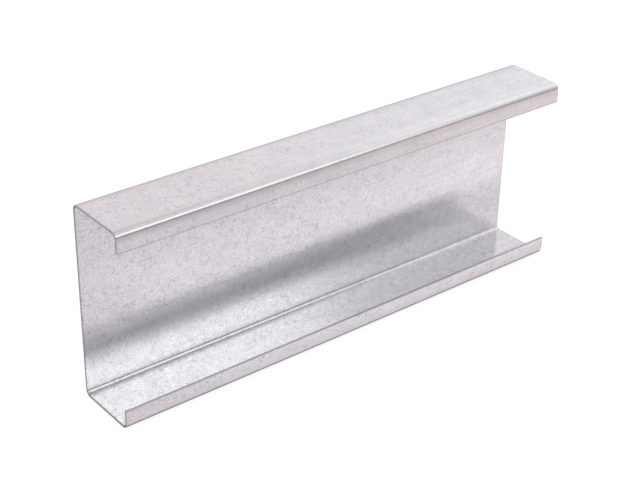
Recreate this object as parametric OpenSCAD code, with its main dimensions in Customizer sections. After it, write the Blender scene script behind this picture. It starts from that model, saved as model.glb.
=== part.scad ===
// C purlin: a lipped channel, cold-roll-formed from one strip of galvanised steel and cut square
// at both ends. It stands on its bottom flange with the web upright and the mouth facing -Y.
// X runs along the length, Y across the flanges and Z up the web. The origin is the middle of
// the footprint, at the level that the purlin stands on.

/* [Section] */
// Height of the web, over the outer faces of both flanges
web_height = 200; // [100:5:350]
// Width of each flange, from the web's outer face to the lip's outer face
flange_width = 70; // [40:1:120]
// Depth of each lip, from the flange's outer face to the lip's free edge
lip_depth = 20; // [12:0.5:35]
// Thickness of the strip
strip_thickness = 2; // [1:0.1:3.2]
// Radius on the inside of each of the four bends
inner_bend_radius = 4; // [1:0.5:6]

/* [Length] */
// Length between the two cut ends
cut_length = 530; // [100:10:12000]

/* [Hidden] */

// Sides of a full circle where the bends are drawn as polygons
$fn = 96;
// A bend's outer face is concentric with its inner one
outer_bend_radius = inner_bend_radius + strip_thickness;
// Height of the mouth, between the free edges of the two lips
mouth_height = web_height - 2 * lip_depth;
// How far the mouth's cut runs past the lips on either side, so that no skin is left
cut_margin = strip_thickness / 2;

// A rectangle of the given size, centred on the origin, with its four corners rounded
module rounded_rectangle(width, height, radius) {
    square([width - 2 * radius, height], center = true);
    square([width, height - 2 * radius], center = true);
    for (side = [-1, 1], end = [-1, 1])
        translate([side * (width / 2 - radius), end * (height / 2 - radius)])
            circle(r = radius);
}

// Cross-section of the strip once it is bent: web on the right, flanges above and below, lips
// on the left with the mouth between them
module c_section() {
    difference() {
        rounded_rectangle(flange_width, web_height, outer_bend_radius);
        rounded_rectangle(flange_width - 2 * strip_thickness,
                          web_height - 2 * strip_thickness,
                          inner_bend_radius);
        translate([-flange_width / 2 - cut_margin, -mouth_height / 2])
            square([strip_thickness + 2 * cut_margin, mouth_height]);
    }
}

// The whole purlin: its section drawn along X, stood on the outer face of its bottom flange
module c_purlin() {
    color("gainsboro")
        translate([-cut_length / 2, 0, web_height / 2])
            rotate([90, 0, 90])
                linear_extrude(height = cut_length)
                    c_section();
}

c_purlin();
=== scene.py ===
"""A lipped C purlin of galvanised steel, standing on a white studio floor.

The purlin is one strip of zinc-coated steel, bent along its length and cut off square. Its
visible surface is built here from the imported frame's own sizes. The flats lean a little into
rounded bends and carry the faint waves of rolled stock, and the sheared edges are slightly
rounded.
"""

import math

import bpy
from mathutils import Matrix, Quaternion, Vector, noise


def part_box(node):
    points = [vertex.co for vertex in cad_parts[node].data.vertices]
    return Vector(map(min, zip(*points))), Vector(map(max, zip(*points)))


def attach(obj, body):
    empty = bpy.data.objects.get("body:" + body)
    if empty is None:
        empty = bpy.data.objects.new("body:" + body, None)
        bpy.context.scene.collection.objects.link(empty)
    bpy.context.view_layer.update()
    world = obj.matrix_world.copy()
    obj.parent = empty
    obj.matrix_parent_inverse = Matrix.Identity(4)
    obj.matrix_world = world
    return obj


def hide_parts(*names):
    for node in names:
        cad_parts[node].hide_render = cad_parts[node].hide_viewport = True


MM = 0.001
NODE = "c_purlin"

# ------------------------------------------------------------------ frame
SAME_PLACE = 0.05 * MM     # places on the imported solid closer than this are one

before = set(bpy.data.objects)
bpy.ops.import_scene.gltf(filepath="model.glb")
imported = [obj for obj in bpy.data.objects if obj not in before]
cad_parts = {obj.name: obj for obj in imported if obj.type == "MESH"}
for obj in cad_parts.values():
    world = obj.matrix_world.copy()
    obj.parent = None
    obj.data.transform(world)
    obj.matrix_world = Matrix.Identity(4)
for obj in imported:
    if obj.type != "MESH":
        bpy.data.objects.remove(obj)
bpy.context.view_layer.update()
LOW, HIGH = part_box(NODE)


def levels(values):
    """The distinct values in order, with those at the same place taken as one."""
    found = []
    for value in sorted(values):
        if not found or value - found[-1] > SAME_PLACE:
            found.append(value)
    return found


def section_sizes():
    """Outer bend radius, lip depth and strip thickness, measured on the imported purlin."""
    points = [v.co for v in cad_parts[NODE].data.vertices]
    lip_face = levels(p.z - LOW.z for p in points if p.y - LOW.y < SAME_PLACE)
    bend_radius, lip_depth = lip_face[0], lip_face[1]
    tangent = HIGH.y - bend_radius
    flange = levels(p.z - LOW.z for p in points if abs(p.y - tangent) < SAME_PLACE)
    return bend_radius, lip_depth, flange[1]


BEND_RADIUS, LIP_DEPTH, THICKNESS = section_sizes()
LENGTH = HIGH.x - LOW.x
FLANGE = HIGH.y - LOW.y
WEB = HIGH.z - LOW.z

# ------------------------------------------------------------------ mesh values
BEND_STEPS = 14              # quads round each quarter bend
EASE_STEPS = 3               # quads where a flat eases into a bend
EASE_LENGTH = 6 * MM         # stretch over which it eases
EASE_TURN = math.radians(5)  # how far it has turned by the end of that
INNER_STRAIN = 0.6           # strain on a bend's inner face, next to 1 on its outer one
LIP_STEPS = 3                # quads across a lip's flat
FLAT_STEP = 8 * MM           # spacing of the rows across the other flats
RING_STEP = 8 * MM           # spacing of the rings along the length
EDGE_STEPS = 3               # quads round each small edge rounding
SLIT_ROUNDING = 0.35 * MM    # rounding of the lips' slit edges
CUT_ROUNDING = 0.12 * MM     # rounding of the two cut ends
WAVE_DEPTH = 0.05 * MM       # how far a flat dips at most
WAVE_LENGTH = 95 * MM        # size of the dips along the purlin
WAVE_WIDTH = WAVE_LENGTH * 0.8  # size of the dips across it
WAVE_GAIN = 0.6              # share of the depth that the noise reaches either way
WAVE_SEED = 3.7
WAVE_MARGIN = 14 * MM        # flat next to a bend that stays true
SLOPE_PROBE = 1.0 * MM       # distance over which a dip's slope is measured
SIDE_OFFSET = 700.0          # separates the two faces in the textures' space, in mm


def eased_bend():
    """Chords of a quarter bend, as length, heading, turn at the end and strain at the end.

    The flats on either side lean a little into the bend, as they do on cold-formed strip.
    """
    def lean(share):
        return EASE_TURN * share * share

    step = EASE_LENGTH / EASE_STEPS
    shares = [(i + 1) / EASE_STEPS for i in range(EASE_STEPS)]
    half = 0.5 / EASE_STEPS
    chords = [(step, lean(t - half), lean(t), t) for t in shares]
    arc = (math.pi / 2 - 2 * EASE_TURN) / BEND_STEPS
    chord = 2 * BEND_RADIUS * math.sin(arc / 2)
    for i in range(BEND_STEPS):
        chords.append((chord, EASE_TURN + arc * (i + 0.5), EASE_TURN + arc * (i + 1), 1.0))
    for t in reversed([0.0] + shares[:-1]):
        chords.append((step, math.pi / 2 - lean(t + half), math.pi / 2 - lean(t), t))
    return chords


EASED_BEND = eased_bend()
BEND_REACH = sum(length * math.cos(heading) for length, heading, _, _ in EASED_BEND)


def turned(v, angle):
    """The flat vector v turned anticlockwise."""
    c, s = math.cos(angle), math.sin(angle)
    return Vector((v.x * c - v.y * s, v.x * s + v.y * c))


class Path:
    """The section's outer face as stations: point, normal, developed place, wave and strain."""

    def __init__(self, start, heading):
        self.point = Vector(start)
        self.heading = Vector(heading)
        self.travel = 0.0
        self.stations = []

    def mark(self, wave=0.0, strain=0.0):
        normal = Vector((self.heading.y, -self.heading.x))
        self.stations.append((self.point.copy(), normal, self.travel, wave, strain))

    def straight(self, length, steps):
        begin = self.point.copy()
        start = self.travel
        for i in range(steps + 1):
            share = i / steps
            self.point = begin + self.heading * (length * share)
            self.travel = start + length * share
            if i or not self.stations:
                edge = min(share, 1 - share) * length
                rise = min(1.0, max(0.0, edge / WAVE_MARGIN))
                self.mark(rise * rise * (3 - 2 * rise))

    def bend(self):
        first = self.heading.copy()
        done = 0.0
        for length, heading, turn, strain in EASED_BEND:
            self.point = self.point + turned(first, heading) * length
            self.travel += length - THICKNESS / 2 * (turn - done)
            self.heading = turned(first, turn)
            done = turn
            self.mark(strain=strain)


def steps_for(length, step):
    return max(2, round(length / step))


def outer_path():
    """Stations along the outer face, from one lip's edge round the web to the other's."""
    lip_flat = LIP_DEPTH - BEND_REACH - SLIT_ROUNDING
    flange_flat = FLANGE - 2 * BEND_REACH
    web_flat = WEB - 2 * BEND_REACH
    path = Path((LOW.y, LOW.z + LIP_DEPTH - SLIT_ROUNDING), (0, -1))
    path.straight(lip_flat, LIP_STEPS)
    for flat in (flange_flat, web_flat, flange_flat, lip_flat):
        path.bend()
        path.straight(flat, LIP_STEPS if flat == lip_flat else steps_for(flat, FLAT_STEP))
    return path.stations


def section():
    """Rows across the section, from one slit edge to the other.

    A row is the outer point and normal, the inner point and normal, the developed place from
    the middle of the strip's width, the face's normal, the wave and the strain.
    """
    stations = outer_path()
    middle = stations[-1][2] / 2
    rows = []
    for point, normal, travel, wave, strain in stations:
        inner = point - normal * THICKNESS
        rows.append((point, normal, inner, -normal, travel - middle, normal, wave, strain))
    begin, end = [], []
    for k in range(1, EDGE_STEPS + 1):
        turn = math.pi / 2 * k / EDGE_STEPS
        for rows_out, (point, normal, travel, *_), sign in (
            (begin, stations[0], -1),
            (end, stations[-1], 1),
        ):
            tip = Vector((-normal.y, normal.x)) * sign
            reach = tip * (math.sin(turn) * SLIT_ROUNDING)
            drop = normal * ((1 - math.cos(turn)) * SLIT_ROUNDING)
            out_normal = normal * math.cos(turn) + tip * math.sin(turn)
            in_normal = -normal * math.cos(turn) + tip * math.sin(turn)
            outer = point + reach - drop
            inner = point - normal * THICKNESS + reach + drop
            place = travel - middle + sign * math.sin(turn) * SLIT_ROUNDING
            rows_out.append((outer, out_normal, inner, in_normal, place, normal, 0.0, 0.0))
    return begin[::-1] + rows + end


def ring_stations():
    """Each ring's place along the length, its inset and the tilt of its normals."""
    half = LENGTH / 2 - CUT_ROUNDING
    count = steps_for(2 * half, RING_STEP)
    rings = [(-half + 2 * half * i / count, 0.0, 0.0) for i in range(count + 1)]
    for k in range(1, EDGE_STEPS + 1):
        turn = math.pi / 2 * k / EDGE_STEPS
        x = half + math.sin(turn) * CUT_ROUNDING
        inset = (1 - math.cos(turn)) * CUT_ROUNDING
        rings.append((x, inset, turn))
        rings.insert(0, (-x, inset, -turn))
    return rings


def dip(x, travel):
    """Depth of the rolled stock's faint waves, from 0 to 1."""
    place = Vector((x / WAVE_LENGTH, travel / WAVE_WIDTH, WAVE_SEED))
    return min(1.0, max(0.0, 0.5 + WAVE_GAIN * noise.noise(place)))


def strip_points(rows, rings):
    """The strip's vertices, ring by ring: outer face first, then inner.

    Gives four lists: points, normals, places on the strip in mm, and strains.
    """
    middle = (LOW.x + HIGH.x) / 2
    points, normals, places, strains = [], [], [], []
    for x, inset, turn in rings:
        for side in (0, 1):
            lean = WAVE_DEPTH / (2 * SLOPE_PROBE) * (-1 if side else 1)
            for outer, out_normal, inner, in_normal, travel, face, wave, strain in rows:
                base, normal = (inner, in_normal) if side else (outer, out_normal)
                depth = wave * dip(x, travel) * WAVE_DEPTH
                at = base - normal * inset - face * depth
                points.append((middle + x, at.x, at.y))
                rise_x = dip(x + SLOPE_PROBE, travel) - dip(x - SLOPE_PROBE, travel)
                rise_s = dip(x, travel + SLOPE_PROBE) - dip(x, travel - SLOPE_PROBE)
                along = Vector((-face.y, face.x))
                across = normal + along * (wave * rise_s * lean)
                facing = Vector((wave * rise_x * lean, across.x, across.y)).normalized()
                facing = facing * math.cos(turn) + Vector((math.sin(turn), 0, 0))
                normals.append(facing.normalized())
                places.append((x / MM, travel / MM, side * SIDE_OFFSET))
                strains.append(strain * INNER_STRAIN if side else strain)
    return points, normals, places, strains


def strip_faces(rings, count):
    """The strip's quads, and for each one whether it is sheared steel, for count rows."""
    faces, cut = [], []

    def add(a, b, c, d, is_cut):
        faces.append((a, b, c, d))
        cut.append(is_cut)

    def at(ring, side, i):
        return (ring * 2 + side) * count + i

    last = count - 1
    for r in range(len(rings) - 1):
        sheared = abs(rings[r][2] + rings[r + 1][2]) > math.pi / 2
        for i in range(last):
            is_cut = sheared or i < 1 or i >= last - 1
            add(at(r, 0, i), at(r, 0, i + 1), at(r + 1, 0, i + 1), at(r + 1, 0, i), is_cut)
            add(at(r, 1, i + 1), at(r, 1, i), at(r + 1, 1, i), at(r + 1, 1, i + 1), is_cut)
        add(at(r, 1, 0), at(r, 0, 0), at(r + 1, 0, 0), at(r + 1, 1, 0), True)
        add(at(r, 0, last), at(r, 1, last), at(r + 1, 1, last), at(r + 1, 0, last), True)
    end = len(rings) - 1
    for i in range(last):
        add(at(0, 0, i + 1), at(0, 0, i), at(0, 1, i), at(0, 1, i + 1), True)
        add(at(end, 0, i), at(end, 0, i + 1), at(end, 1, i + 1), at(end, 1, i), True)
    return faces, cut


def build_strip():
    """The purlin's visible surface as one mesh object."""
    rows, rings = section(), ring_stations()
    points, normals, places, strains = strip_points(rows, rings)
    faces, cut = strip_faces(rings, len(rows))
    mesh = bpy.data.meshes.new("purlin_strip")
    mesh.from_pydata(points, [], faces)
    mesh.polygons.foreach_set("use_smooth", [True] * len(faces))
    mesh.polygons.foreach_set("material_index", [int(c) for c in cut])
    place = mesh.attributes.new("strip_mm", "FLOAT_VECTOR", "POINT")
    place.data.foreach_set("vector", [c for p in places for c in p])
    stretched = mesh.attributes.new("strain", "FLOAT", "POINT")
    stretched.data.foreach_set("value", strains)
    mesh.validate()
    mesh.normals_split_custom_set_from_vertices(normals)
    mesh.update()
    strip = bpy.data.objects.new("purlin_strip", mesh)
    bpy.context.scene.collection.objects.link(strip)
    return strip


def sharp_places():
    """Where the strip turns sharply: developed places, in mm from the middle of its width."""
    stations = outer_path()
    middle = stations[-1][2] / 2
    return [(travel - middle) / MM for _, _, travel, _, strain in stations if strain == 1.0]


STRIP_WIDTH = outer_path()[-1][2] + 2 * SLIT_ROUNDING
FOLD_PLACE = sharp_places()[-BEND_STEPS - 1]  # where the top flange turns down into its lip
BACK_PLACE = sharp_places()[-BEND_STEPS - 2]  # where the web has turned into the top flange


# ------------------------------------------------------------------ node helpers
class Nodes:
    """Adds nodes to one tree and links them with short calls."""

    def __init__(self, tree):
        self.tree = tree
        tree.nodes.clear()

    def add(self, kind, settings=None, **inputs):
        """A new node. An input goes by its label, or by its number with an i before it."""
        made = self.tree.nodes.new(kind)
        for name, value in (settings or {}).items():
            setattr(made, name, value)
        for name, value in inputs.items():
            numbered = name[0] == "i" and name[1:].isdigit()
            self.put(made.inputs[int(name[1:]) if numbered else name.replace("_", " ")], value)
        return made

    def put(self, socket, value):
        if isinstance(value, bpy.types.NodeSocket):
            self.tree.links.new(value, socket)
        else:
            socket.default_value = value

    def math(self, operation, a, b=0.0):
        return self.add("ShaderNodeMath", {"operation": operation}, i0=a, i1=b).outputs[0]

    def times(self, first, *others):
        for other in others:
            first = self.math("MULTIPLY", first, other)
        return first

    def plus(self, first, *others):
        for other in others:
            first = self.math("ADD", first, other)
        return first

    def minus(self, a, b):
        return self.math("SUBTRACT", a, b)

    def larger(self, a, b):
        return self.math("MAXIMUM", a, b)

    def apart(self, a, b):
        """The distance between two values."""
        return self.math("ABSOLUTE", self.minus(a, b))

    def ramp(self, value, start, stop, out_start=0.0, out_stop=1.0):
        """An eased step from out_start, where the value is start, to out_stop at stop."""
        made = self.add("ShaderNodeMapRange", {"interpolation_type": "SMOOTHSTEP"}, Value=value,
                        From_Min=start, From_Max=stop, To_Min=out_start, To_Max=out_stop)
        return made.outputs[0]

    def blend(self, factor, a, b):
        """The colour a where the factor is 0, and b where it is 1."""
        made = self.add("ShaderNodeMix", {"data_type": "RGBA"}, i0=factor, i6=a, i7=b)
        return made.outputs[2]

    def attribute(self, name, output):
        return self.add("ShaderNodeAttribute", {"attribute_name": name}).outputs[output]

    def split(self, vector):
        return self.add("ShaderNodeSeparateXYZ", None, Vector=vector).outputs


def rgb(red, green, blue):
    return (red, green, blue, 1.0)


def grey(value):
    return rgb(value, value, value)


def noise_at(n, place, scale, detail, seed, output="Fac"):
    """A noise texture over the strip, with its own scale along each axis and its own seed."""
    shape = n.add("ShaderNodeMapping", None, Vector=place,
                  Location=(seed, seed * SEED_SLANT, 0.0), Scale=scale)
    field = n.add("ShaderNodeTexNoise", None, Vector=shape.outputs[0],
                  Scale=1.0, Detail=detail, Roughness=NOISE_ROUGHNESS)
    return field.outputs[output]


def cloud(n, place, size, detail, seed):
    """Soft patches of the given size in mm, as a noise from 0 to 1."""
    return noise_at(n, place, (1 / size, 1 / size, 1.0), detail, seed)


# ------------------------------------------------------------------ zinc values
PINK_ZINC = rgb(0.945, 0.930, 0.934)
BLUE_ZINC = rgb(0.876, 0.930, 0.946)
PALE_ZINC = grey(0.985)
BRIGHT_ZINC = grey(0.99)
DULL_ZINC = rgb(0.73, 0.73, 0.755)
DARK_ZINC = rgb(0.46, 0.455, 0.475)
# Colour of the painted shade beside the cut ends and the slit edges
EDGE_SHADE_ZINC = rgb(0.24, 0.235, 0.24)
METALLIC = 0.92

NOISE_ROUGHNESS = 0.55
SEED_SLANT = 1.3          # share of a seed that moves a noise across the strip

# Soft patches: size in mm, detail and seed
MOTTLE = (7.0, 3.0, 11.3)
HAZE = (22.0, 2.0, 81.3)
BLUSH = (16.0, 2.0, 140.1)
PATCH = (70.0, 2.0, 40.1)
SPECK = (2.6, 2.0, 33.3)
STAIN = (8.0, 2.0, 171.0)
# Drawn-out noises: scale per mm along, across and between the faces, then detail and seed
SWIRL = ((0.11, 0.11, 1.0), 1.0, 5.0)
LINES = ((0.006, 0.55, 1.0), 3.0, 0.0)
STREAK = ((0.011, 0.30, 1.0), 2.0, 17.0)
GRAIN = ((0.8, 0.8, 1.0), 1.0, 90.0)
SWIRL_REACH = (9.0, 9.0, 0.0)  # how far the swirl carries the marks, in mm

# Short strokes: angle to the length in degrees, seed, and length and width in mm
STROKES = ((52.0, 3.1, 7.0, 1.2), (-56.0, 27.9, 6.5, 1.2))
STROKE_CORE = (0.40, 0.30)
STROKE_GROUP = (24.0, 1.0)              # size in mm and detail
STROKE_GROUP_EDGE = (0.46, 0.58, 0.4, 1.0)
# Curled hairs: size in mm, seed, share kept, and width in the noise's own value
DARK_HAIRS = ((5.5, 201.0, 0.44, 0.045), (10.0, 7.7, 0.50, 0.028))
PALE_HAIR = (7.0, 63.0, 0.45, 0.05)
HAIR_LENGTH = 9.0                       # in mm
HAIR_TAPER = 0.25
HAIR_GATE = 0.04
HAIR_LEVEL = 0.62                       # level of the gate's noise that would keep none
HAIR_LEVEL_DROP = 0.24                  # how far it comes down to keep all
# Seeds of the gates that group the strokes and cut the hairs, past the seed of the marks
STROKE_GATE_SEED = 55.0
HAIR_GATE_SEED = 31.0

# Where a noise turns from 0 to 1
GENTLE = (0.25, 0.75)
MILD = (0.3, 0.7)
CRISP = (0.35, 0.65)

INNER_FACE = (0.3 * SIDE_OFFSET, 0.7 * SIDE_OFFSET)  # between the outer and inner faces
# Zones on the strip: where they start and where they are full, in mm along it from the middle
# of its length, or across it from the middle of its width, with the top flange on the plus side
TOP_ZONE = (105.0, 112.0)
LOW_ZONE = (-20.0, -50.0)
# Edges of the band of painted shade on the web's dark reflection
REFLECTION_BAND_TOP = (-25.0, -38.0)
REFLECTION_BAND_FOOT = (-78.0, -62.0)
HANDLED_ZONE = (-60.0, 140.0)
# Where the painted sheen before the top fold grows along the strip
SHEEN_ALONG = (-60.0, 60.0)
# Ramps along the strip, in mm, and the strengths at their two ends
TOP_WEAR = (-250.0, 180.0, 0.2, 0.65)
WEAR = (-120.0, 265.0, 0.0, 0.45)
BRUSHING = (-120.0, 230.0, 0.12, 0.48)
CLOUDING = (-100.0, 230.0, 0.40, 0.75)
# Painted shade on the web's dark reflection band, growing towards the far end
REFLECTION_BAND_SHADE = (60.0, 190.0, 0.0, 0.13)
# Painted shade past the top fold, along the strip
FOLD_SHADE_ALONG = (-150.0, 150.0, 0.40, 0.27)
# Distances past the top front fold, in mm
# Where the painted shade past the top fold begins
FOLD_SHADE_FROM = (2.5, 4.5)
# Where the painted sheen before the top fold rises and ends
SHEEN_FROM = (-15.0, -4.0)
SHEEN_UNTIL = (2.0, -1.0)
# Place of the thin dark line along the top fold, and its drift
FOLD_LINE_PLACE = 2.4
FOLD_LINE_DRIFT = 0.005                 # mm that the line moves for each mm along
# Distances from a line or an edge, in mm, and the strengths at their two ends
# Thin dark lines along the top fold and along the back bend
FOLD_DARK_LINE = (1.4, 0.2, 0.0, 0.22)
BACK_DARK_LINE = (4.0, 1.0, 0.0, 0.38)
# Painted shade beside the cut ends and the slit edges
CUT_EDGE_SHADE = (1.3, 0.2, 0.0, 0.5)
SLIT_EDGE_SHADE = (1.5, 0.4, 0.0, 0.55)
# Strengths, from 0 to 1
HAZE_STRENGTH = 0.38
SPECK_STRENGTH = 0.54
GRAIN_STRENGTH = 0.24
STROKE_BY_STRAIN = (0.0, 1.0, 0.46, 0.12)
PALE_HAIR_STRENGTH = 0.30
DARK_HAIR_STRENGTH = 0.54
SHELTER = 0.9                           # how much of the wear the low inside is spared
SMOOTHING = 0.75                        # how far drawing over a bend clears the crystals
HANDLED_SHINE = 0.18
STAIN_EDGE = (0.40, 0.62, 0.0, 0.19)
DRAWN_DULLING = 0.22
# Strength of the painted sheen before the top fold
SHEEN_STRENGTH = 0.36
# Roughness of the plain zinc, and what each mark adds to it
ROUGHNESS = 0.16
MOTTLE_ROUGHNESS = 0.05
STROKE_ROUGHNESS = 0.05
DRAWN_ROUGHNESS = 0.04
PRESSED_ROUGHNESS = 0.20
# Relief: the share of each mark in it, and how strong it is
RELIEF_DEPTH = 0.05 * MM
HAIR_RELIEF = -0.13
MOTTLE_RELIEF = 0.25
SPECK_RELIEF = 0.10
LINES_RELIEF = 0.35
RELIEF_STRENGTH = 0.4
STRAIN_FLATTENING = 0.25


# ------------------------------------------------------------------ zinc
class Strip:
    """Where a point lies on the strip and how it was bent, as sockets. Places are in mm."""

    def __init__(self, n):
        self.place = n.attribute("strip_mm", "Vector")
        self.strain = n.attribute("strain", "Fac")
        swirl = noise_at(n, self.place, *SWIRL, "Color")
        self.pushed = n.add("ShaderNodeVectorMath", {"operation": "MULTIPLY_ADD"},
                            i0=swirl, i1=SWIRL_REACH, i2=self.place).outputs[0]
        self.along, self.across, face = n.split(self.place)
        self.inside = n.ramp(face, *INNER_FACE)
        self.outside = n.minus(1.0, self.inside)
        self.low = n.times(n.ramp(self.across, *LOW_ZONE), self.inside)
        self.pressed = n.times(self.strain, self.inside)
        self.drawn = n.minus(self.strain, self.pressed)


class Marks:
    """The zinc's crystals, clouds and rolling lines, as sockets from 0 to 1."""

    def __init__(self, n, at):
        self.mottle = n.ramp(cloud(n, at.place, *MOTTLE), *MILD)
        self.haze = n.ramp(cloud(n, at.place, *HAZE), *MILD)
        self.blush = n.ramp(cloud(n, at.place, *BLUSH), *CRISP)
        self.patch = n.ramp(cloud(n, at.place, *PATCH), *CRISP)
        self.speck = n.ramp(cloud(n, at.pushed, *SPECK), *CRISP)
        self.grain = n.ramp(noise_at(n, at.place, *GRAIN), *GENTLE)
        self.streak = n.ramp(noise_at(n, at.place, *STREAK), *MILD)
        self.lines = noise_at(n, at.place, *LINES)
        self.stain = n.ramp(cloud(n, at.pushed, *STAIN), *STAIN_EDGE)
        self.stroke = n.larger(*(strokes(n, at.pushed, *kind) for kind in STROKES))
        self.dark_hair = n.larger(*(hairs(n, at.pushed, *kind) for kind in DARK_HAIRS))
        self.pale_hair = hairs(n, at.pushed, *PALE_HAIR)


def strokes(n, place, angle, seed, length, width):
    """Short strokes that lie at an angle to the length: 1 on a stroke and 0 between."""
    turn = n.add("ShaderNodeVectorRotate", {"rotation_type": "Z_AXIS"},
                 Vector=place, Angle=math.radians(angle))
    field = noise_at(n, turn.outputs[0], (1 / length, 1 / width, 1.0), 1.0, seed)
    group = n.ramp(cloud(n, place, *STROKE_GROUP, seed + STROKE_GATE_SEED), *STROKE_GROUP_EDGE)
    return n.times(n.ramp(field, *STROKE_CORE), group)


def hairs(n, place, size, seed, kept, width):
    """Thin curled hairs along a noise's middle level, with the given share of them kept."""
    line = n.ramp(n.apart(cloud(n, place, size, 0.0, seed), 0.5), width, width * HAIR_TAPER)
    level = HAIR_LEVEL - kept * HAIR_LEVEL_DROP
    gate = n.ramp(cloud(n, place, HAIR_LENGTH, 1.0, seed + HAIR_GATE_SEED),
                  level - HAIR_GATE, level + HAIR_GATE)
    return n.times(line, gate)


def crystal_clearness(n, at):
    """How clearly the crystals show: worn off along the top and at the far end, and at bends."""
    top_wear = n.times(n.ramp(at.across, *TOP_ZONE), at.outside, n.ramp(at.along, *TOP_WEAR))
    end_wear = n.times(n.ramp(at.along, *WEAR), n.minus(1.0, n.times(at.low, SHELTER)))
    worn = n.larger(top_wear, end_wear)
    return n.minus(1.0, n.larger(worn, n.times(at.drawn, SMOOTHING)))


def zinc_colour(n, at, marks):
    """The zinc as it left the bath and the rolls: clouds, streaks and crystals."""
    clear = crystal_clearness(n, at)
    warmth = n.times(n.plus(marks.patch, marks.blush), 0.5)
    colour = n.blend(warmth, BLUE_ZINC, PINK_ZINC)
    stroke_strength = n.ramp(at.drawn, *STROKE_BY_STRAIN)
    for strength, paint in (
        (n.times(marks.mottle, n.ramp(at.along, *CLOUDING)), PALE_ZINC),
        (n.times(marks.haze, HAZE_STRENGTH), DULL_ZINC),
        (n.times(marks.streak, n.ramp(at.along, *BRUSHING)), DULL_ZINC),
        (n.times(marks.speck, clear, SPECK_STRENGTH), DULL_ZINC),
        (n.times(marks.grain, clear, GRAIN_STRENGTH), DARK_ZINC),
        (n.times(marks.stroke, stroke_strength), DARK_ZINC),
        (n.times(marks.pale_hair, clear, PALE_HAIR_STRENGTH), BRIGHT_ZINC),
        (n.times(marks.dark_hair, clear, DARK_HAIR_STRENGTH), DARK_ZINC),
    ):
        colour = n.blend(strength, colour, paint)
    return colour


def stained(n, at, marks, colour):
    """The colour with the low inside rubbed and stained towards the far end.

    A band low on the web is painted darker there too, as painted shade on its dark reflection.
    """
    handled = n.times(at.low, n.ramp(at.along, *HANDLED_ZONE))
    colour = n.blend(n.times(handled, HANDLED_SHINE), colour, BRIGHT_ZINC)
    colour = n.blend(n.times(handled, marks.stain), colour, DARK_ZINC)
    # Painted shade: a band low on the web, darker towards the far end, deepening its dark
    # reflection
    painted_reflection_band = n.times(at.inside, n.ramp(at.along, *REFLECTION_BAND_SHADE),
                     n.ramp(at.across, *REFLECTION_BAND_TOP), n.ramp(at.across, *REFLECTION_BAND_FOOT))
    return n.blend(painted_reflection_band, colour, DARK_ZINC)


def painted_edge_shade(n, at, colour):
    """The colour with a dark rim beside the cut ends and the slit edges: painted shade along
    them.
    """
    to_cut = n.minus(LENGTH / 2 / MM, n.math("ABSOLUTE", at.along))
    to_slit = n.minus(STRIP_WIDTH / 2 / MM, n.math("ABSOLUTE", at.across))
    # Painted shade: a dark rim beside the cut ends and the slit edges
    rim = n.larger(n.ramp(to_cut, *CUT_EDGE_SHADE), n.ramp(to_slit, *SLIT_EDGE_SHADE))
    return n.blend(rim, colour, EDGE_SHADE_ZINC)


def formed(n, at, colour):
    """The colour with dulled bends, a painted sheen and painted shade at the top fold, and thin
    dark lines.
    """
    past_fold = n.minus(at.across, FOLD_PLACE)
    # Painted shade past the top fold, deepening the dark reflection under its highlight
    fold_painted_shade = n.times(n.ramp(past_fold, *FOLD_SHADE_FROM), n.ramp(at.along, *FOLD_SHADE_ALONG))
    dulled = n.times(at.drawn, n.larger(DRAWN_DULLING, fold_painted_shade))
    colour = n.blend(dulled, colour, DARK_ZINC)
    # Painted sheen: the top flange lighter just before the fold, towards the far end
    painted_sheen = n.times(n.ramp(past_fold, *SHEEN_FROM), n.ramp(past_fold, *SHEEN_UNTIL),
                      n.ramp(at.along, *SHEEN_ALONG), at.outside, SHEEN_STRENGTH)
    colour = n.blend(painted_sheen, colour, BRIGHT_ZINC)
    # Thin dark lines along the top fold and along the back bend
    drifting = n.minus(past_fold, n.times(at.along, FOLD_LINE_DRIFT))
    front_dark_line = n.ramp(n.apart(drifting, FOLD_LINE_PLACE), *FOLD_DARK_LINE)
    back_dark_line = n.ramp(n.apart(at.across, BACK_PLACE), *BACK_DARK_LINE)
    return n.blend(n.times(n.larger(front_dark_line, back_dark_line), at.outside), colour, DARK_ZINC)


def new_material(name):
    material = bpy.data.materials.new(name)
    material.use_nodes = True
    return material, Nodes(material.node_tree)


def zinc_material():
    """Hot-dip zinc on rolled strip: pale grey metal, clouded, with fine curled crystals."""
    material, n = new_material("galvanised_zinc")
    at = Strip(n)
    marks = Marks(n, at)
    # Stains, and painted shade on the web's dark reflection band
    colour = stained(n, at, marks, zinc_colour(n, at, marks))
    # Painted shade beside the edges, then painted sheen and painted shade at the top fold
    colour = formed(n, at, painted_edge_shade(n, at, colour))
    rough = n.plus(ROUGHNESS,
                   n.times(marks.mottle, MOTTLE_ROUGHNESS),
                   n.times(marks.stroke, STROKE_ROUGHNESS),
                   n.times(at.drawn, DRAWN_ROUGHNESS),
                   n.times(at.pressed, PRESSED_ROUGHNESS))
    height = n.plus(n.times(marks.dark_hair, HAIR_RELIEF),
                    n.times(marks.mottle, MOTTLE_RELIEF),
                    n.times(marks.speck, SPECK_RELIEF),
                    n.times(marks.lines, LINES_RELIEF))
    strength = n.minus(RELIEF_STRENGTH, n.times(at.strain, STRAIN_FLATTENING))
    relief = n.add("ShaderNodeBump", None, Height=height, Strength=strength,
                   Distance=RELIEF_DEPTH)
    surface = n.add("ShaderNodeBsdfPrincipled", None, Base_Color=colour, Metallic=METALLIC,
                    Roughness=rough, Normal=relief.outputs[0])
    n.add("ShaderNodeOutputMaterial", None, Surface=surface.outputs[0])
    return material


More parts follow.
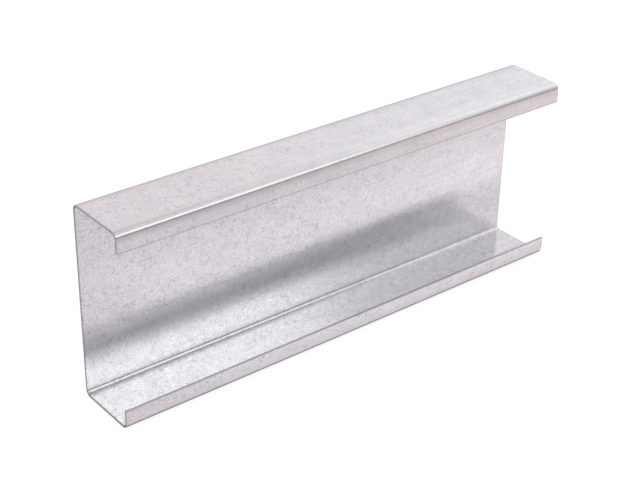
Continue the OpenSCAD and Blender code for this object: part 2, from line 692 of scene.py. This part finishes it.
# ------------------------------------------------------------------ sheared steel
TORN_DARK = rgb(0.24, 0.23, 0.235)
TORN_PALE = rgb(0.36, 0.345, 0.35)
BURNISHED = rgb(0.60, 0.58, 0.59)
TEAR_SCALE = 900.0                      # per metre, as the streaks' scale is
TEAR_DETAIL = 3.0
SHEAR_STREAK_SCALE = (1500.0, 400.0, 400.0)
SHEAR_STREAK_DETAIL = 2.0
SHEAR_RAGGEDNESS = 0.3 * SIDE_OFFSET
SHEAR_DEPTH = (0.62 * SIDE_OFFSET, 0.5 * SIDE_OFFSET)  # where the blade stopped cutting
SHEAR_ROUGHNESS = 0.42
TEAR_ROUGHNESS = 0.15
BURNISHED_SMOOTHING = 0.2
SHEAR_RELIEF_STRENGTH = 0.4
SHEAR_RELIEF_DEPTH = 0.04 * MM


def sheared_material():
    """Bare sheared steel on the cut ends and the lips' slit edges: half burnished, half torn."""
    material, n = new_material("sheared_steel")
    place = n.add("ShaderNodeTexCoord").outputs["Object"]
    coarse = n.add("ShaderNodeTexNoise", None, Vector=place,
                   Scale=TEAR_SCALE, Detail=TEAR_DETAIL).outputs[0]
    stretched = n.add("ShaderNodeMapping", None, Vector=place, Scale=SHEAR_STREAK_SCALE)
    streak = n.add("ShaderNodeTexNoise", None, Vector=stretched.outputs[0],
                   Scale=1.0, Detail=SHEAR_STREAK_DETAIL).outputs[0]
    through = n.split(n.attribute("strip_mm", "Vector"))[2]
    ragged = n.plus(through, n.times(streak, SHEAR_RAGGEDNESS))
    burnished = n.ramp(ragged, *SHEAR_DEPTH)
    torn = n.blend(n.ramp(coarse, *CRISP), TORN_DARK, TORN_PALE)
    colour = n.blend(burnished, torn, BURNISHED)
    rough = n.minus(n.plus(SHEAR_ROUGHNESS, n.times(coarse, TEAR_ROUGHNESS)),
                    n.times(burnished, BURNISHED_SMOOTHING))
    relief = n.add("ShaderNodeBump", None, Height=streak, Strength=SHEAR_RELIEF_STRENGTH,
                   Distance=SHEAR_RELIEF_DEPTH)
    surface = n.add("ShaderNodeBsdfPrincipled", None, Base_Color=colour, Metallic=1.0,
                    Roughness=rough, Normal=relief.outputs[0])
    n.add("ShaderNodeOutputMaterial", None, Surface=surface.outputs[0])
    return material


# ------------------------------------------------------------------ the purlin
purlin = build_strip()
purlin.data.materials.append(zinc_material())
purlin.data.materials.append(sheared_material())
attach(purlin, "root")
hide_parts(NODE)


# ------------------------------------------------------------------ floor and world
def seen_by_eye_or_mirror(n):
    """1 on rays from the camera, from gloss and through glass, and 0 on the others."""
    path = n.add("ShaderNodeLightPath").outputs
    gloss = n.larger(path["Is Glossy Ray"], path["Is Transmission Ray"])
    return n.larger(path["Is Camera Ray"], gloss)


FLOOR_HALF = 1.15          # half the floor's side, in metres
FLOOR_DROP = 0.1 * MM      # gap below the purlin
MATT_FLOOR = grey(0.8)     # the floor as matt surfaces see it
SHADOW_FLOOR = grey(0.3)   # the part of it that takes a shadow
GLOW_FLOOR = grey(0.8)     # what is added to that for the camera
# What is added to it in mirrors
FLOOR_LEFT = rgb(0.565, 0.506, 0.544)
FLOOR_RIGHT = rgb(0.542, 0.478, 0.504)
FLOOR_FRONT_LEFT = rgb(0.300, 0.284, 0.290)
FLOOR_FRONT_RIGHT = rgb(0.592, 0.446, 0.405)
# Painted pool of light in the floor's glow, by the purlin's mouth
FLOOR_LIGHT_POOL = rgb(0.805, 0.745, 0.792)
# Painted shadow in the floor's glow, at the purlin's foot
FOOT_SHADOW = rgb(0.10, 0.095, 0.095)
# Where its tints change, in metres, and their shares there
RIGHT_OF_FLOOR = (-0.15, 0.30)
RIGHT_OF_FRONT = (0.25, 0.55)
FRONT_BEGINS = (-0.60, -0.19, 1.0, 0.0)
# The painted pool of light by the mouth
POOL_BEGINS = (-0.20, -0.09, 0.0, 0.8)
POOL_ENDS = (-0.070, -0.045, 1.0, 0.4)
POOL_ALONG = (-0.20, -0.08, 0.3, 1.0)
# Where the painted shadow at the foot fades
FOOT_SHADOW_EDGE = (5 * MM, -1 * MM)  # from the purlin's foot


def mirrored_floor(n):
    """The floor's tint in mirrors: painted light by the mouth, painted shadow at the foot, dark
    at the front left.
    """
    x, y, _ = n.split(n.add("ShaderNodeTexCoord").outputs["Object"])
    tint = n.blend(n.ramp(x, *RIGHT_OF_FLOOR), FLOOR_LEFT, FLOOR_RIGHT)
    # Painted pool of light by the mouth
    beside = n.times(n.ramp(y, *POOL_BEGINS), n.ramp(y, *POOL_ENDS),
                     n.ramp(x, *POOL_ALONG))
    tint = n.blend(beside, tint, FLOOR_LIGHT_POOL)
    front = n.blend(n.ramp(x, *RIGHT_OF_FRONT), FLOOR_FRONT_LEFT, FLOOR_FRONT_RIGHT)
    tint = n.blend(n.ramp(y, *FRONT_BEGINS), tint, front)
    # Painted shadow at the purlin's foot
    past_end = n.minus(n.math("ABSOLUTE", x), LENGTH / 2)
    past_side = n.minus(n.math("ABSOLUTE", y), FLANGE / 2)
    foot_shadow = n.ramp(n.larger(past_end, past_side), *FOOT_SHADOW_EDGE)
    return n.blend(foot_shadow, tint, FOOT_SHADOW)


def build_floor():
    """A floor that is white to the camera but for a faint shadow, and has tints in mirrors."""
    z = LOW.z - FLOOR_DROP
    h = FLOOR_HALF
    mesh = bpy.data.meshes.new("floor")
    mesh.from_pydata([(-h, -h, z), (h, -h, z), (h, h, z), (-h, h, z)], [], [(0, 1, 2, 3)])
    floor = bpy.data.objects.new("floor", mesh)
    bpy.context.scene.collection.objects.link(floor)
    material, n = new_material("floor_white")
    is_camera = n.add("ShaderNodeLightPath").outputs["Is Camera Ray"]
    matt = n.add("ShaderNodeBsdfDiffuse", None, Color=MATT_FLOOR)
    soft = n.add("ShaderNodeBsdfDiffuse", None, Color=SHADOW_FLOOR)
    glow = n.add("ShaderNodeEmission", None, Strength=1.0,
                 Color=n.blend(is_camera, mirrored_floor(n), GLOW_FLOOR))
    white = n.add("ShaderNodeAddShader", None, i0=soft.outputs[0], i1=glow.outputs[0])
    chosen = n.add("ShaderNodeMixShader", None, i0=seen_by_eye_or_mirror(n),
                   i1=matt.outputs[0], i2=white.outputs[0])
    n.add("ShaderNodeOutputMaterial", None, Surface=chosen.outputs[0])
    mesh.materials.append(material)


ROOM_LIGHT = grey(0.85)    # the world as matt surfaces see it
ROOM_WHITE = grey(1.0)     # the world as the camera sees it
# The world in mirrors
BACK_LEFT = rgb(0.875, 0.795, 0.828)
BACK_RIGHT = rgb(0.905, 0.890, 0.918)
FRONT_LEFT = rgb(0.925, 0.915, 0.915)
FRONT_RIGHT = rgb(0.815, 0.800, 0.830)
OVERHEAD_LEFT = rgb(0.745, 0.688, 0.707)
OVERHEAD_RIGHT = rgb(1.23, 1.19, 1.205)
HORIZON_LEFT = rgb(0.36, 0.345, 0.355)
HORIZON_RIGHT = rgb(0.44, 0.42, 0.43)
# Where its parts begin, as parts of a unit direction, and their shares there
TO_FRONT = (-0.1, -0.55)
TO_RIGHT = (0.42, 0.72)
OVERHEAD = (0.64, 0.76)
OVERHEAD_REACH = 0.12      # how much lower it begins on the right
HORIZON = (0.02, 0.18, 1.0, 0.0)
FRONT_HORIZON = (0.22, 0.42, 1.0, 0.0)


def build_world():
    """White to the camera, pale grey to matt surfaces, and a room to mirrors.

    The room is dim low down, reaching higher in front, and brightest overhead on the right.
    """
    world = bpy.data.worlds.new("studio")
    bpy.context.scene.world = world
    world.use_nodes = True
    n = Nodes(world.node_tree)
    is_camera = n.add("ShaderNodeLightPath").outputs["Is Camera Ray"]
    x, y, z = n.split(n.add("ShaderNodeTexCoord").outputs["Generated"])
    front = n.ramp(y, *TO_FRONT)
    right = n.ramp(x, *TO_RIGHT)
    room = n.blend(front, n.blend(right, BACK_LEFT, BACK_RIGHT),
                   n.blend(right, FRONT_LEFT, FRONT_RIGHT))
    rise = n.plus(z, n.times(right, OVERHEAD_REACH))
    room = n.blend(n.ramp(rise, *OVERHEAD), room, n.blend(right, OVERHEAD_LEFT, OVERHEAD_RIGHT))
    low = n.larger(n.times(front, n.ramp(z, *FRONT_HORIZON)), n.ramp(z, *HORIZON))
    room = n.blend(low, room, n.blend(right, HORIZON_LEFT, HORIZON_RIGHT))
    seen = n.blend(is_camera, n.blend(seen_by_eye_or_mirror(n), ROOM_LIGHT, room), ROOM_WHITE)
    shine = n.add("ShaderNodeBackground", None, Color=seen, Strength=1.0)
    n.add("ShaderNodeOutputWorld", None, Surface=shine.outputs[0])


# ------------------------------------------------------------------ lamp
SOFTBOX_PLACE = Vector((0.250, -1.00, 0.76))
SOFTBOX_AIM = Vector((0.0, 0.0, 0.05))
SOFTBOX_WIDTH = 1.05
SOFTBOX_HEIGHT = 0.50
SOFTBOX_RADIANCE = 0.80    # where white is 1
SOFTBOX_COLOUR = (0.98, 0.965, 0.965)


def build_softbox():
    """A rectangular lamp in front, facing its aim."""
    lamp = bpy.data.lights.new("front_softbox", "AREA")
    lamp.shape = "RECTANGLE"
    lamp.size = SOFTBOX_WIDTH
    lamp.size_y = SOFTBOX_HEIGHT
    lamp.energy = SOFTBOX_RADIANCE * math.pi * SOFTBOX_WIDTH * SOFTBOX_HEIGHT
    lamp.color = SOFTBOX_COLOUR
    made = bpy.data.objects.new("front_softbox", lamp)
    made.location = SOFTBOX_PLACE
    made.rotation_mode = "QUATERNION"
    made.rotation_quaternion = (SOFTBOX_AIM - SOFTBOX_PLACE).to_track_quat("-Z", "Y")
    bpy.context.scene.collection.objects.link(made)


# ------------------------------------------------------------------ camera
CAMERA_AIM = Vector((-0.0140, 0.0057, 0.0921))
CAMERA_DISTANCE = 1.4067   # in metres
CAMERA_AZIMUTH = -39.29    # in degrees
CAMERA_ELEVATION = 29.28
CAMERA_ROLL = 1.23
CAMERA_LENS = 81.1         # in mm, as the sensor is
SENSOR_WIDTH = 36.0


def build_camera():
    """The camera at its angle round the aim, turned a little about its own axis."""
    turn, rise = math.radians(CAMERA_AZIMUTH), math.radians(CAMERA_ELEVATION)
    back = Vector((math.sin(turn) * math.cos(rise), -math.cos(turn) * math.cos(rise),
                   math.sin(rise)))
    data = bpy.data.cameras.new("camera")
    data.lens = CAMERA_LENS
    data.sensor_width = SENSOR_WIDTH
    camera = bpy.data.objects.new("camera", data)
    camera.location = CAMERA_AIM + back * CAMERA_DISTANCE
    camera.rotation_mode = "QUATERNION"
    level = (-back).to_track_quat("-Z", "Y")
    camera.rotation_quaternion = level @ Quaternion((0, 0, 1), math.radians(CAMERA_ROLL))
    bpy.context.scene.collection.objects.link(camera)
    bpy.context.scene.camera = camera


build_floor()
build_world()
build_softbox()
build_camera()
bpy.context.scene.view_settings.view_transform = "Standard"
